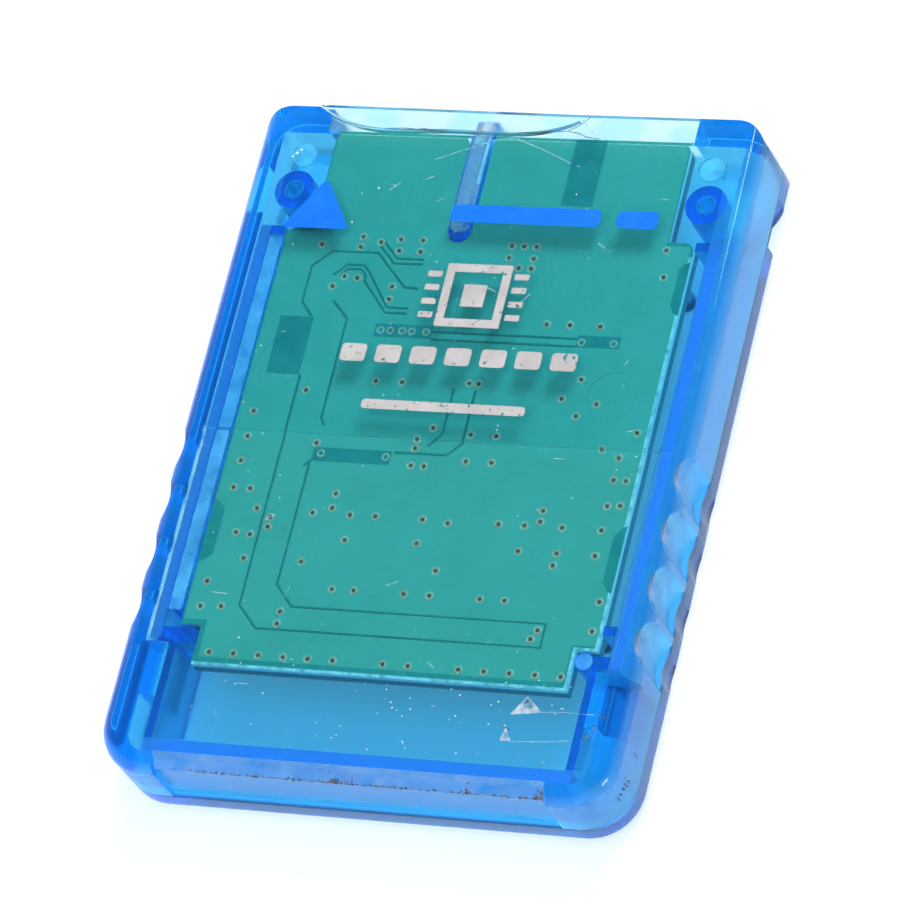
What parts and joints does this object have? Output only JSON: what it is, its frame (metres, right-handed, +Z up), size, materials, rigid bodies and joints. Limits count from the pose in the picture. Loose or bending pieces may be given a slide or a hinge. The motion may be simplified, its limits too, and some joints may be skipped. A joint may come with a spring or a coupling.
{
  "type": "console memory card",
  "caption": "Translucent blue memory card for a game console, with an open contact mouth, finger scallops, latch notches and a cracked lip over a green circuit board.",
  "frame": {"origin": "middle of the flat underside, in the plane that the card lies on", "axes": "+Y along the length towards the contact mouth, +X across the width, +Z up through the thickness"},
  "size_m": [0.042, 0.0566, 0.0081],
  "materials": {
    "clear_blue_plastic": "clear tinted gloss, lightly scuffed",
    "board_laminate": "solder mask over copper, satin",
    "gold_contacts": "thin gold plating",
    "chip_resin": "matte moulded resin",
    "tinned_leads": "tin plate",
    "tan_ceramic": "satin ceramic with tinned ends",
    "dark_ceramic": "satin ceramic with tinned ends",
    "pale_ceramic": "satin ceramic with tinned ends"
  },
  "bodies": {
    "root": {"upper_shell": "clear_blue_plastic", "lower_shell": "clear_blue_plastic", "circuit_board": "board_laminate", "memory_chip": "chip_resin", "controller_chip": "chip_resin", "memory_leads": "tinned_leads", "controller_leads": "tinned_leads", "resonator": "pale_ceramic", "contact_pad_1": "gold_contacts", "contact_pad_2": "gold_contacts", "contact_pad_3": "gold_contacts", "contact_pad_4": "gold_contacts", "contact_pad_5": "gold_contacts", "contact_pad_6": "gold_contacts", "contact_pad_7": "gold_contacts", "contact_pad_8": "gold_contacts", "capacitor_1": "tan_ceramic", "resistor_1": "dark_ceramic", "capacitor_2": "tan_ceramic", "resistor_2": "dark_ceramic", "capacitor_3": "tan_ceramic", "resistor_3": "dark_ceramic", "capacitor_4": "tan_ceramic", "resistor_4": "dark_ceramic"}
  },
  "joints": []
}
